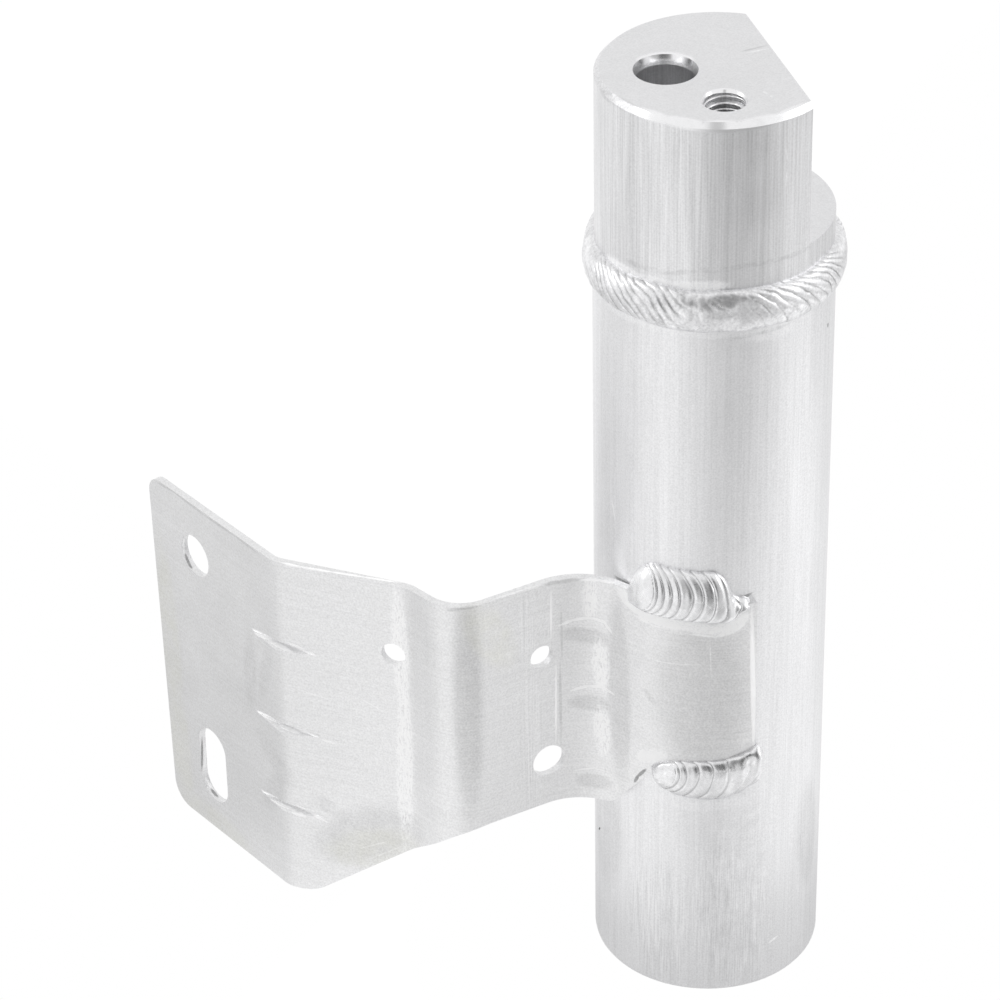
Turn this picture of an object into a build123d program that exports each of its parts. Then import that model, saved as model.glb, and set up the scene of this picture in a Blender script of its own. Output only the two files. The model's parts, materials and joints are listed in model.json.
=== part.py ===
from build123d import *
from math import cos, radians, sin, sqrt, tan
import os

# Receiver drier: an aluminium can closed by a machined head, with a folded bracket welded on.
# Lengths are in millimetres and angles in degrees. The can's axis is Z and its base is on Z = 0.
# X runs along the bracket's mounting flange and angles are measured from +X towards +Y.

# Can: one extruded piece with a closed bottom and a step inside near the bottom
can_od = 60.0
can_wall = 2.5
can_floor = 4.0
can_height = 211.0
can_base_radius = 2.0
can_base_side_count = 4
can_corner_bevel = 2.0
step_height = 28.0
step_width = 1.5

# Head: turned bar with a D-shaped block on top and a spigot in the can's mouth
head_setback = 0.5
collar_height = 13.0
block_height = 38.0
rim_chamfer = 1.3
flat_offset = 15.4
flat_angle = 66.6
spigot_length = 9.0
spigot_clearance = 0.1
joint_chamfer = 2.0

# Ports and tapped holes: one pair in the top, one pair in the flat of the D
port_d = 14.4
port_depth = 15.0
port_lead_in = 0.7
port_lead_depth = 2.4
passage_d = 9.0
port_x = -6.7
fitting_y = -10.4
fitting_pitch = 21.0
thread_d = 10.0
thread_depth = 19.0
thread_chamfer = 0.55
drill_angle = 118.0
side_port_drop = 23.0
side_port_depth = 12.0
side_thread_depth = 16.0
side_fitting_angle = 45.0

# Weld around the joint of can and head
head_bead_width = 11.4
head_bead_crown = 3.1
head_bead_ripple_count = 12
head_ripple_depth = 0.35
head_bead_side_count = 5

# Bracket: one folded sheet, walked from the tab on the can to the free edge of the flange.
# Bend radii are those of the inner side of each bend.
sheet = 2.0
bracket_top = 126.7
bracket_bottom = 21.1
tab_start_angle = -20.3
tab_end_angle = -76.0
tab_lead = 7.0
ridge_angle = 66.0
ridge_radius = 16.5
slope_run = 17.6
valley_angle = 75.0
valley_radius = 10.0
knuckle_run = 5.9
knuckle_angle = 25.0
knuckle_radius = 8.0
web_run = 32.8
flange_radius = 6.0
flange_run = 52.3
flange_lean = 2.6
flange_top_corner = 5.0
flange_bottom_corner = 6.5

# Lower edge of the sheet: distances along the flat blank from the flange's free edge, the drop of the level
# stretch under the slope from the upper edge and the height of the tab
hem_start = 60.0
hem_end = 107.5
hem_blend = 7.0
hem_drop = 69.7
tab_hem_start = 148.0
tab_hem_end = 163.0
tab_height = 51.0
hem_corner = 12.0
tab_hem_corner = 4.0
hem_bend_count = 6

# Holes in the bracket: distance along the blank from the flange's free edge, and drop below the upper
# edge or lift above the lower one
flange_hole_d = 12.0
flange_hole_along = 19.5
flange_hole_drop = 16.3
slot_width = 12.0
slot_length = 23.5
slot_along = 21.6
slot_lift = 21.6
clip_hole_d = 6.6
web_hole_along = 85.9
web_hole_drop = 21.6
slope_hole_along = 127.9
slope_hole_drop = 22.4
stud_hole_d = 9.2
stud_hole_along = 129.6
stud_hole_drop = 56.0

# Stiffening darts pressed across the flange bend
dart_count = 3
dart_pitch = 26.4
dart_middle_drop = 53.0
dart_reach = 10.5
dart_angle = 50.0
dart_rounding = 0.6

# Welds along the upper and lower edge of the tab. A bead stops short of the tab's end or runs on past it,
# in degrees around the can.
bead_crown = 3.4
bead_ripple_depth = 0.45
bead_bite = 0.5
bead_tip = 0.3
bead_swell_count = 4
bead_side_count = 4
upper_bead_run_on_angle = 6.0
upper_bead_short_angle = 10.7
upper_bead_overlap = 2.8
upper_bead_rise = 9.2
upper_bead_ripple_count = 9
lower_bead_short_angle = 7.0
lower_bead_run_on_angle = 4.3
lower_bead_overlap = 3.6
lower_bead_rise = 9.4
lower_bead_ripple_count = 8

# Pick-up tube, pressed into the head's underside, with a strainer at its foot
tube_od = 10.0
tube_wall = 1.0
tube_socket_depth = 10.0
strainer_clearance = 2.0
strainer_base = 1.5
strainer_window = 11.0
strainer_collar = 6.0
strainer_wall = 1.8
strainer_rib_count = 4
strainer_rib_width = 2.0
mesh_wall = 0.5

# Stack inside the can: plate, pad, drying grains, pad, plate and spring
fit_clearance = 0.2
bore_clearance = 0.15
plate_thickness = 1.2
plate_hole_d = 7.0
plate_ring_radius = 16.5
plate_hole_count = 4
pad_thickness = 5.0
spring_length = 24.0
spring_gap = 4.5
spring_wire = 2.4
spring_turns = 2.5
spring_side_count = 6
spring_step_count = 16

# How far a cutter runs past the face that it cuts
cut_over = 1.0

# Sizes that follow from the ones above
can_radius = can_od / 2
can_inner = can_radius - can_wall
head_radius = can_radius - head_setback
ledge_z = can_height + collar_height
head_top = ledge_z + block_height
head_bottom = can_height - spigot_length
side_port_z = head_top - side_port_drop
stack_radius = can_inner - fit_clearance
tube_radius = tube_od / 2
strainer_floor = can_floor + strainer_clearance
tab_bottom = bracket_top - tab_height
hem_level = bracket_top - hem_drop
upper_bead_start = tab_end_angle - upper_bead_run_on_angle
upper_bead_end = tab_start_angle - upper_bead_short_angle
lower_bead_start = tab_end_angle + lower_bead_short_angle
lower_bead_end = tab_start_angle + lower_bead_run_on_angle
tube_foot = strainer_floor + strainer_base + strainer_window
tube_top = head_bottom + tube_socket_depth


def polar(radius, angle):
    """Point at a radius and an angle about the can's axis."""
    return Vector(radius * cos(radians(angle)), radius * sin(radians(angle)))


def upright(angle):
    """Plane through the can's axis: its x is the radius at this angle and its y is the height."""
    return Plane(origin=(0, 0, 0), x_dir=polar(1, angle), z_dir=polar(1, angle - 90))


def ring(outer, inner, height, z):
    """Flat-ended ring that stands at height z."""
    return Pos(0, 0, z) * (extrude(Circle(outer), height) - extrude(Circle(inner), height))


def bored(radius, depth):
    """Cutter for a flat-bottomed hole from the face at Z = 0 downwards."""
    return Pos(0, 0, -depth) * extrude(Circle(radius), depth + cut_over)


def drilled(radius, depth):
    """Cutter for a blind hole from the face at Z = 0 downwards, with a drill point."""
    point = radius / tan(radians(drill_angle / 2))
    outline = Polyline(
        (0, cut_over), (radius, cut_over), (radius, -depth), (0, -depth - point), close=True)
    return revolve(Plane.XZ * make_face(outline), Axis.Z)


def bevelled(radius, bevel, bevel_depth):
    """Cutter for the bevelled mouth of a hole in the face at Z = 0."""
    mouth = radius + bevel
    outline = Polyline(
        (0, cut_over), (mouth, cut_over), (mouth, 0), (radius, -bevel_depth), (0, -bevel_depth), close=True)
    return revolve(Plane.XZ * make_face(outline), Axis.Z)


def rounded_line(start, middle, end, sides):
    """Arc through three points, as straight sides."""
    arc = ThreePointArc(start, middle, end)
    return Polyline(*[arc @ (side / sides) for side in range(sides + 1)])


def make_can():
    """Can with a rounded base, an inner step for the lower plate and a bevelled mouth."""
    flat = can_radius - can_base_radius
    bulge = can_base_radius * sin(radians(45))
    middle = flat + bulge, can_base_radius - bulge
    base = rounded_line((flat, 0), middle, (can_radius, can_base_radius), can_base_side_count)
    mouth = can_height - joint_chamfer
    wall = Polyline(
        (can_radius, can_base_radius), (can_radius, mouth), (can_radius - joint_chamfer, can_height),
        (0, can_height), (0, 0), (flat, 0))
    body = revolve(Plane.XZ * make_face([base, wall]), Axis.Z)
    sump_radius = can_inner - step_width
    sump = Pos(0, 0, can_floor) * extrude(Circle(sump_radius), step_height)
    sump = chamfer(sump.edges().group_by(Axis.Z)[0], can_corner_bevel)
    bore = Pos(0, 0, step_height) * extrude(Circle(can_inner), can_height)
    return body - sump - bore


def head_passages():
    """Cutters for the two ports, the two tapped holes and the passages that they lead to."""
    port, thread = port_d / 2, thread_d / 2
    passage, riser = passage_d / 2, tube_radius - tube_wall
    top = Pos(port_x, fitting_y, head_top)
    beside = Pos(fitting_pitch, 0)
    face = Plane(
        origin=polar(flat_offset, flat_angle) + Vector(0, 0, side_port_z),
        x_dir=polar(1, flat_angle + 90), z_dir=polar(1, flat_angle)).location
    above = Rot(0, 0, side_fitting_angle) * beside
    port_mouth = bevelled(port, port_lead_in, port_lead_depth)
    thread_mouth = bevelled(thread, thread_chamfer, thread_chamfer)
    holes = (
        (top, bored(port, port_depth), port_mouth),
        (top * beside, drilled(thread, thread_depth), thread_mouth),
        (face, bored(port, side_port_depth), port_mouth),
        (face * above, drilled(thread, side_thread_depth), thread_mouth),
    )
    cuts = [face * drilled(passage, flat_offset)]
    for place, hole, mouth in holes:
        cuts.append(place * hole)
        cuts.append(place * mouth)
    start = head_bottom - cut_over
    cuts.append(Pos(port_x, fitting_y, start) * extrude(Circle(passage), head_top - port_depth - start))
    cuts.append(Pos(0, 0, start) * extrude(Circle(riser), side_port_z - start))
    cuts.append(Pos(0, 0, start) * extrude(Circle(tube_radius), tube_socket_depth + cut_over))
    return cuts


def make_head():
    """Head with its D-shaped block, the half-moon ledge beside it, the spigot and the ports."""
    body = Pos(0, 0, can_height) * extrude(Circle(head_radius), head_top - can_height)
    body = chamfer(body.edges().group_by(Axis.Z)[-1], rim_chamfer)
    body = chamfer(body.edges().group_by(Axis.Z)[0], joint_chamfer - head_setback)
    spigot_radius = can_inner - spigot_clearance
    body += Pos(0, 0, head_bottom) * extrude(Circle(spigot_radius), spigot_length)
    beside = Rot(0, 0, flat_angle) * Pos(flat_offset, 0, ledge_z)
    body -= beside * Box(can_od, can_od * 2, block_height * 2, align=(Align.MIN, Align.CENTER, Align.MIN))
    for cut in head_passages():
        body -= cut
    return body


def swell(step, steps, ends):
    """Size of a bead at a step along it: full in the middle and rounded off near both ends."""
    near = min(step, steps - step) / ends
    return sqrt(1 - (1 - min(near, 1.0)) ** 2)


def make_head_weld(can, head):
    """Bead around the joint, in two halves: rippled crown outside, root in the bevels of the joint."""
    half = head_bead_width / 2
    steps = 2 * head_bead_ripple_count
    root = can_radius - joint_chamfer, can_height
    low = can_radius - bead_bite, can_height - half
    high = head_radius - bead_bite, can_height + half
    halves = []
    for first in (0, 180):
        sections = []
        for step in range(steps + 1):
            crown = can_radius + head_bead_crown - head_ripple_depth * (step % 2), can_height
            outline = [rounded_line(low, crown, high, head_bead_side_count), Polyline(high, root, low)]
            sections.append(upright(first + 180 * step / steps) * make_face(outline))
        halves.append(loft(sections, ruled=True))
    return halves[0] + halves[1] - can - head


def sheet_runs():
    """Stretches of the sheet by name, from the tab's free edge to the flange's.

    Each has a turn, which is 0 where it is straight, and a size: a length, or a bend's radius on the face
    that touches the can. The flange's bend brings the flange parallel to X.
    """
    web_heading = tab_end_angle - 90 + ridge_angle - valley_angle + knuckle_angle
    return {
        "tab": (tab_end_angle - tab_start_angle, can_radius),
        "lead": (0, tab_lead),
        "ridge": (ridge_angle, ridge_radius + sheet),
        "slope": (0, slope_run),
        "valley": (-valley_angle, valley_radius),
        "knuckle_flat": (0, knuckle_run),
        "knuckle": (knuckle_angle, knuckle_radius + sheet),
        "web": (0, web_run),
        "flange_bend": (-180 - web_heading, flange_radius),
        "flange": (0, flange_run),
    }


def run_length(name):
    """Length of a stretch on the face that touches the can."""
    turn, size = sheet_runs()[name]
    return radians(abs(turn)) * size if turn else size


def sheet_pieces():
    """The sheet's stretches in plan by name, as lines and arcs on the face that touches the can."""
    point = polar(can_radius, tab_start_angle)
    heading = tab_start_angle - 90
    pieces = {}
    for name, (turn, size) in sheet_runs().items():
        if turn:
            pieces[name] = JernArc(point, polar(1, heading), size, turn)
        else:
            pieces[name] = Line(point, point + polar(size, heading))
        point = pieces[name] @ 1
        heading += turn
    return pieces


def blank_point(line, along):
    """Plan point and outward normal at a distance along the blank from the flange's free edge."""
    distance = line.length - along
    point = line.position_at(distance, position_mode=PositionMode.LENGTH)
    tangent = line.tangent_at(distance, position_mode=PositionMode.LENGTH)
    return point, Vector(-tangent.Y, tangent.X)


def through(line, along, z, shape):
    """Cutter of a flat shape through the sheet, square to it at this place on the blank."""
    point, outward = blank_point(line, along)
    across = Vector(outward.Y, -outward.X)
    plane = Plane(origin=point + Vector(0, 0, z), x_dir=across, z_dir=outward)
    return extrude(plane * shape, 3 * sheet, both=True)


def hem_cutter(line):
    """What lies below the sheet's lower edge, drawn on an upright plane square to the tab.

    The edge is level under the flange, climbs in a straight line on the blank, bends back to level under the
    slope and steps up to the tab.
    """
    square = (tab_start_angle + tab_end_angle) / 2 + 90
    rise = (hem_level - bracket_bottom) / (hem_end - hem_start)
    bend_start, bend_end = hem_end - hem_blend, hem_end + hem_blend

    def spot(along, z):
        point, _ = blank_point(line, along)
        return Vector(point.X * cos(radians(square)) + point.Y * sin(radians(square)), z)

    def climb(along):
        bent = max(along - bend_start, 0)
        return spot(along, bracket_bottom + rise * (along - hem_start - bent * bent / (4 * hem_blend)))

    far = line.length + can_od
    web_end = run_length("flange") + run_length("flange_bend") + run_length("web")
    start, straight_end, level_start = climb(hem_start), climb(web_end), climb(bend_end)
    step_foot, step_top = spot(tab_hem_start, hem_level), spot(tab_hem_end, tab_bottom)
    bend_step = (bend_end - web_end) / hem_bend_count
    bend = [climb(web_end + bend_step * number) for number in range(1, hem_bend_count)]
    tangents = [(straight_end - start).normalized(), Vector(1, 0)]
    edge = [
        Line((-far, bracket_bottom), start),
        Line(start, straight_end),
        Spline(straight_end, *bend, level_start, tangents=tangents),
        Line(level_start, step_foot),
        Line(step_foot, step_top),
        Polyline(step_top, (far, tab_bottom), (far, -far), (-far, -far), (-far, bracket_bottom)),
    ]
    face = make_face(edge)
    for corner, rounding in ((start, hem_corner), (step_foot, tab_hem_corner), (step_top, tab_hem_corner)):
        face = fillet(face.vertices().sort_by_distance(corner)[0], rounding)
    plane = Plane(origin=(0, 0, 0), x_dir=polar(1, square), z_dir=polar(1, square - 90))
    return extrude(plane * face, far, both=True)


def flange_edge_cutter(line):
    """Wedge off the flange's free edge, which leans in towards its lower corner."""
    free = (line @ 1).X
    outer = free - flange_lean
    foot = bracket_bottom - sheet
    outline = Polyline(
        (outer, bracket_top + sheet), (free, bracket_top), (free + flange_lean, bracket_bottom),
        (free + flange_lean, foot), (outer, foot), close=True)
    return extrude(Plane.XZ * make_face(outline), line.length * 2, both=True)


def dart_profile(rounding):
    """V that opens along +Y from a rounded bottom at the origin."""
    half_angle = radians(dart_angle / 2)
    depth = 2 * dart_reach
    lift = rounding / sin(half_angle) - rounding
    half = tan(half_angle) * (depth + lift)
    face = make_face(Polyline((0, -lift), (half, depth), (-half, depth), close=True))
    return fillet(face.vertices().sort_by(Axis.Y)[0], rounding)


def dart_cutters(line):
    """Grooves of the darts, and the larger V that each one pushes out on the inner side of the bend."""
    bend_middle = run_length("flange") + run_length("flange_bend") / 2
    before, before_out = blank_point(line, bend_middle - dart_reach)
    after, after_out = blank_point(line, bend_middle + dart_reach)
    first, last = before + before_out * sheet, after + after_out * sheet
    chord = (last - first).normalized()
    outward = Vector(chord.Y, -chord.X)
    grooves, ribs = [], []
    for number in range(dart_count):
        z = bracket_top - dart_middle_drop + dart_pitch * (number - (dart_count - 1) / 2)
        middle = (first + last) / 2 + Vector(0, 0, z)
        groove = Plane(origin=middle, x_dir=(0, 0, 1), z_dir=chord)
        rib = Plane(origin=middle - outward * sheet, x_dir=(0, 0, 1), z_dir=chord)
        grooves.append(extrude(groove * dart_profile(dart_rounding), 2 * dart_reach, both=True))
        ribs.append(extrude(rib * dart_profile(dart_rounding + sheet), 2 * dart_reach, both=True))
    return grooves, ribs


def make_bracket():
    """Folded sheet with its holes, its rounded flange corners and the darts across the flange bend."""
    pieces = sheet_pieces()
    line = Wire(list(pieces.values()))
    section = make_face(offset(line, sheet, side=Side.LEFT))
    start = bracket_bottom - cut_over
    body = Pos(0, 0, start) * extrude(section, bracket_top - start)
    body -= hem_cutter(line)
    body -= flange_edge_cutter(line)
    body = fillet(free_corner(body, 0), flange_bottom_corner)
    body = fillet(free_corner(body, -1), flange_top_corner)
    grooves, ribs = dart_cutters(line)
    behind = Wire([pieces["web"], pieces["flange_bend"], pieces["flange"]])
    room = make_face(offset(behind, 2 * sheet, side=Side.RIGHT))
    hollow = Pos(0, 0, bracket_bottom) * extrude(room, bracket_top - bracket_bottom)
    for rib in ribs:
        body += rib & hollow
    for groove in grooves:
        body -= groove
    slot = SlotOverall(slot_length, slot_width, rotation=90)
    body -= through(line, slot_along, bracket_bottom + slot_lift, slot)
    round_holes = (
        (flange_hole_along, flange_hole_drop, flange_hole_d),
        (web_hole_along, web_hole_drop, clip_hole_d),
        (slope_hole_along, slope_hole_drop, clip_hole_d),
        (stud_hole_along, stud_hole_drop, stud_hole_d),
    )
    for along, drop, size in round_holes:
        body -= through(line, along, bracket_top - drop, Circle(size / 2))
    return body


def free_corner(body, place):
    """Edge through the sheet at the flange's free lower corner (place 0) or upper corner (place -1)."""
    across = body.edges().filter_by(Axis.Y)
    free_x = across.sort_by(Axis.X)[0].center().X
    near = across.filter_by_position(Axis.X, free_x - sheet, free_x + 2 * flange_lean + sheet)
    return near.sort_by(Axis.Z)[place]


def make_tab_weld(can, bracket, edge_z, up, start, end, overlap, rise, ripples):
    """Rippled bead from the sheet's face over its edge to the can; up is 1 on the upper edge, else -1."""
    sections = []
    steps = 2 * ripples
    for step in range(steps + 1):
        size = bead_tip + (1 - bead_tip) * swell(step, steps, bead_swell_count)
        crown = (bead_crown - bead_ripple_depth * (step % 2)) * size
        on_sheet = Vector(can_radius + sheet - bead_bite, edge_z - up * overlap * size)
        on_can = Vector(can_radius - bead_bite, edge_z + up * rise * size)
        under = Vector(on_sheet.X, edge_z - up * bead_bite * size)
        inside = Vector(on_can.X, under.Y)
        middle = (on_sheet + on_can) / 2 + Vector(crown, 0)
        root = Polyline(on_can, inside, under, on_sheet)
        outline = [rounded_line(on_sheet, middle, on_can, bead_side_count), root]
        sections.append(upright(start + (end - start) * step / steps) * make_face(outline))
    return loft(sections, ruled=True) - can - bracket


def perforated_plate(z):
    """Round plate for the stack, with a hole for the tube and a ring of holes for the refrigerant."""
    plate = ring(stack_radius, tube_radius + bore_clearance, plate_thickness, z)
    for place in PolarLocations(plate_ring_radius, plate_hole_count):
        plate -= Pos(0, 0, z) * place * extrude(Circle(plate_hole_d / 2), plate_thickness)
    return plate


def make_stack():
    """Plates, pads, grains and spring between the can's inner step and the head, from the bottom up."""
    bore = tube_radius + bore_clearance
    lower_pad_z = step_height + plate_thickness
    grains_z = lower_pad_z + pad_thickness
    spring_z = head_bottom - spring_length
    upper_plate_z = spring_z - plate_thickness
    upper_pad_z = upper_plate_z - pad_thickness
    return {
        "lower_plate": perforated_plate(step_height),
        "lower_filter_pad": ring(stack_radius, bore, pad_thickness, lower_pad_z),
        "desiccant_grains": ring(stack_radius, bore, upper_pad_z - grains_z, grains_z),
        "upper_filter_pad": ring(stack_radius, bore, pad_thickness, upper_pad_z),
        "upper_plate": perforated_plate(upper_plate_z),
        "stack_spring": make_spring(spring_z),
    }


def make_spring(z):
    """Spring with its ends ground flat, between the upper plate and the head."""
    middle_radius = can_inner - spring_gap - spring_wire / 2
    path = Helix(spring_length / spring_turns, spring_length, middle_radius, center=(0, 0, z))
    steps = round(spring_step_count * spring_turns)
    sections = [
        Plane(origin=path @ (step / steps), x_dir=(0, 0, 1), z_dir=path % (step / steps))
        * RegularPolygon(spring_wire / 2, spring_side_count) for step in range(steps + 1)]
    coil = loft(sections, ruled=True)
    return coil & (Pos(0, 0, z) * extrude(Circle(can_radius), spring_length))


def make_strainer():
    """Strainer on the foot of the tube: a frame of collar, ribs and base, and the mesh inside the ribs."""
    outer = tube_radius + strainer_wall
    mesh_radius = tube_radius + mesh_wall
    window_z = strainer_floor + strainer_base
    frame = Pos(0, 0, strainer_floor) * extrude(Circle(outer), strainer_base)
    frame += ring(outer, tube_radius, strainer_collar, tube_foot)
    for place in PolarLocations(0, strainer_rib_count):
        bar = Pos(0, 0, window_z) * place * Pos(outer / 2, 0) * extrude(
            Rectangle(outer, strainer_rib_width), strainer_window)
        frame += bar & ring(outer, mesh_radius, strainer_window, window_z)
    return frame, ring(mesh_radius, tube_radius, strainer_window, window_z)


can = make_can()
head = make_head()
bracket = make_bracket()
frame, mesh = make_strainer()
pieces = {
    "can": can,
    "head": head,
    "head_weld": make_head_weld(can, head),
    "bracket": bracket,
    "upper_tab_weld": make_tab_weld(
        can, bracket, bracket_top, 1, upper_bead_start, upper_bead_end, upper_bead_overlap, upper_bead_rise,
        upper_bead_ripple_count),
    "lower_tab_weld": make_tab_weld(
        can, bracket, tab_bottom, -1, lower_bead_start, lower_bead_end, lower_bead_overlap, lower_bead_rise,
        lower_bead_ripple_count),
    "pickup_tube": ring(tube_radius, tube_radius - tube_wall, tube_top - tube_foot, tube_foot),
    "strainer_frame": frame,
    "strainer_mesh": mesh,
}
pieces.update(make_stack())

os.makedirs("parts", exist_ok=True)
for name, piece in pieces.items():
    export_step(piece, f"parts/{name}.step")
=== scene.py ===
import json
import math

import bpy
import numpy as np
from mathutils import Matrix, Vector, noise
from mathutils.bvhtree import BVHTree


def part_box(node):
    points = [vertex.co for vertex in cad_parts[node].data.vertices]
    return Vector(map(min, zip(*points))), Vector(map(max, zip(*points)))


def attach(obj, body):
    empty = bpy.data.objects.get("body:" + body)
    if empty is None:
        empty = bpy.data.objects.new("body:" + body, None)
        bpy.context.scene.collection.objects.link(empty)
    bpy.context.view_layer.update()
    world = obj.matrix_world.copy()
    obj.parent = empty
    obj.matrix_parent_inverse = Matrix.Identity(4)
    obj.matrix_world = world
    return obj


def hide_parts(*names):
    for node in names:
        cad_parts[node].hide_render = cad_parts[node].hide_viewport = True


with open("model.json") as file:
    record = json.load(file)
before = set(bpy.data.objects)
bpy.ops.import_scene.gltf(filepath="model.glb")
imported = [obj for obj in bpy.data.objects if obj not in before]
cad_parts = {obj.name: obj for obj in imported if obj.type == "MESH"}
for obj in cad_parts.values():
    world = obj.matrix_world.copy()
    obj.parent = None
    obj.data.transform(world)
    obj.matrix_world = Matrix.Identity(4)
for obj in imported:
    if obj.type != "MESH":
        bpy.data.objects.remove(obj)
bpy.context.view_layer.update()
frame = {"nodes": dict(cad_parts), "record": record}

# Camera: place in millimetres, angles in degrees and focal length in pixels of a 1000 pixel frame
CAMERA_PLACE = (660.669, -602.062, 729.06)
CAMERA_YAW = 141.10852
CAMERA_PITCH = 33.4791
CAMERA_ROLL = -1.13599
FOCAL_PIXELS = 4196.991
FRAME_PIXELS = 1000
SENSOR_WIDTH = 36.0

# Metres in a millimetre
MM = 0.001

# Sizes of the object that the details follow, in millimetres
CAN_RADIUS = 30.0
HEAD_RADIUS = 29.5
JOINT_Z = 211.0
SHEET = 2.0

# Where each material is used
NODE_MATERIALS = {
    "can": "can", "head": "head", "bracket": "bracket", "head_weld": "weld", "upper_tab_weld": "weld",
    "lower_tab_weld": "weld", "pickup_tube": "tube", "strainer_frame": "strainer", "strainer_mesh": "mesh",
    "lower_plate": "plate", "upper_plate": "plate", "lower_filter_pad": "pad", "upper_filter_pad": "pad",
    "desiccant_grains": "desiccant", "stack_spring": "spring",
}
COLOURS = {entry["slot"]: entry["base_color"] for entry in frame["record"]["materials"]}
# Materials of hidden pieces that are metal
HIDDEN_METALS = ("tube", "plate", "spring")


# Camera and what it sees


def camera_axes():
    """Directions to the camera's right, up and forward."""
    yaw, pitch, roll = (math.radians(angle) for angle in (CAMERA_YAW, CAMERA_PITCH, CAMERA_ROLL))
    forward = Vector((math.cos(yaw) * math.cos(pitch), math.sin(yaw) * math.cos(pitch), -math.sin(pitch)))
    level = forward.cross(Vector((0, 0, 1))).normalized()
    above = level.cross(forward)
    right = math.cos(roll) * level + math.sin(roll) * above
    up = math.cos(roll) * above - math.sin(roll) * level
    return right, up, forward


def make_camera():
    """Camera at the photograph's place."""
    right, up, forward = camera_axes()
    turn = Matrix((right, up, -forward)).transposed().to_4x4()
    data = bpy.data.cameras.new("camera")
    data.sensor_width = SENSOR_WIDTH
    data.lens = FOCAL_PIXELS * SENSOR_WIDTH / FRAME_PIXELS
    camera = bpy.data.objects.new("camera", data)
    camera.matrix_world = Matrix.Translation(Vector(CAMERA_PLACE) * MM) @ turn
    bpy.context.scene.collection.objects.link(camera)
    bpy.context.scene.camera = camera


def surface_of(node):
    """Tree of a node's faces that rays can be cast at."""
    mesh = frame["nodes"][node].data
    corners = [vertex.co for vertex in mesh.vertices]
    return BVHTree.FromPolygons(corners, [polygon.vertices for polygon in mesh.polygons])


def under_pixel(surface, pixel):
    """Place on a surface, in metres, that a pixel of the photograph shows."""
    right, up, forward = camera_axes()
    across, down = ((value - FRAME_PIXELS / 2) / FOCAL_PIXELS for value in pixel)
    ray = forward + across * right - down * up
    place, _, _, _ = surface.ray_cast(Vector(CAMERA_PLACE) * MM, ray.normalized())
    if place is None:
        raise ValueError(f"the pixel {pixel} shows another surface")
    return place


# Marks on the surfaces, of which several paint light or shade into the colour. Each kind has its change of
# tone, warmth, roughness, metallic sheen and height in millimetres, and the noise that breaks it up:
# features per millimetre along each axis, lowest share.
MARK_KINDS = {
    # Scratches, press marks and dart lines, lighter in tone than their light makes them: real marks with a
    # painted highlight
    "nick": (0.38, 0.0, 0.0, -0.9, 0.03, (1.4, 1.4, 1.4), 0.4),
    # Painted highlight along edges of the sheet and of its holes
    "edge": (0.38, 0.0, 0.0, -0.9, 0.0, (0.5, 0.5, 0.5), 0.8),
    "faint": (0.16, 0.0, 0.0, -0.5, 0.01, (0.8, 0.8, 0.8), 0.2),
    # Dents and grooves, lowered a little, and darkened with painted shade
    "dent": (-0.16, 0.0, 0.0, 0.0, -0.02, (0.5, 0.5, 0.5), 0.5),
    # Painted shadow in the gaps where sheet and can meet and on the walls of holes
    "gap": (-0.50, 0.0, 0.1, 0.0, 0.0, (0.5, 0.5, 0.5), 0.7),
    "speck": (-0.6, 0.0, 0.2, 0.0, 0.0, (1.0, 1.0, 1.0), 1.0),
    # Broad darker patches, partly smudges and partly painted shade
    "smudge": (-0.08, 0.0, 0.03, 0.0, 0.0, (0.35, 0.35, 0.35), 0.2),
    "shade": (-0.13, 0.0, 0.0, 0.0, 0.0, (0.3, 0.3, 0.3), 0.7),
    # Polished faces: smoother, with an even grain, and a lighter tone that is a painted highlight
    "polish": (0.15, 0.0, -0.24, 0.0, 0.0, (0.5, 0.5, 0.5), 0.8),
    "rub": (0.10, 0.0, 0.0, -0.2, 0.012, (2.6, 2.6, 0.12), -1.0),
    # Painted highlight: bright speckled bands along the bend and the ridge
    "sparkle": (0.28, 0.0, 0.0, -0.4, 0.018, (2.4, 2.4, 0.6), -0.2),
    "seam": (-0.15, 0.0, 0.0, 0.0, -0.02, (0.45, 0.45, 0.45), -0.1),
    "striae": (0.08, 0.0, 0.0, 0.0, 0.01, (3.2, 3.2, 0.02), -0.9),
    "tint": (0.0, 0.035, 0.0, 0.0, 0.0, (0.2, 0.2, 0.2), 0.3),
    "melt": (0.25, 0.0, 0.10, -0.6, 0.06, (1.1, 1.1, 1.1), 0.5),
    "halo": (0.09, 0.0, 0.05, -0.3, 0.02, (0.5, 0.5, 0.5), 0.3),
}

# Half length of a mark's field as a share of the line between two of its points
LINE_SHARE = 0.7
# Value of its field from which a mark has its full strength
FULL_MARK = 0.5
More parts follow.
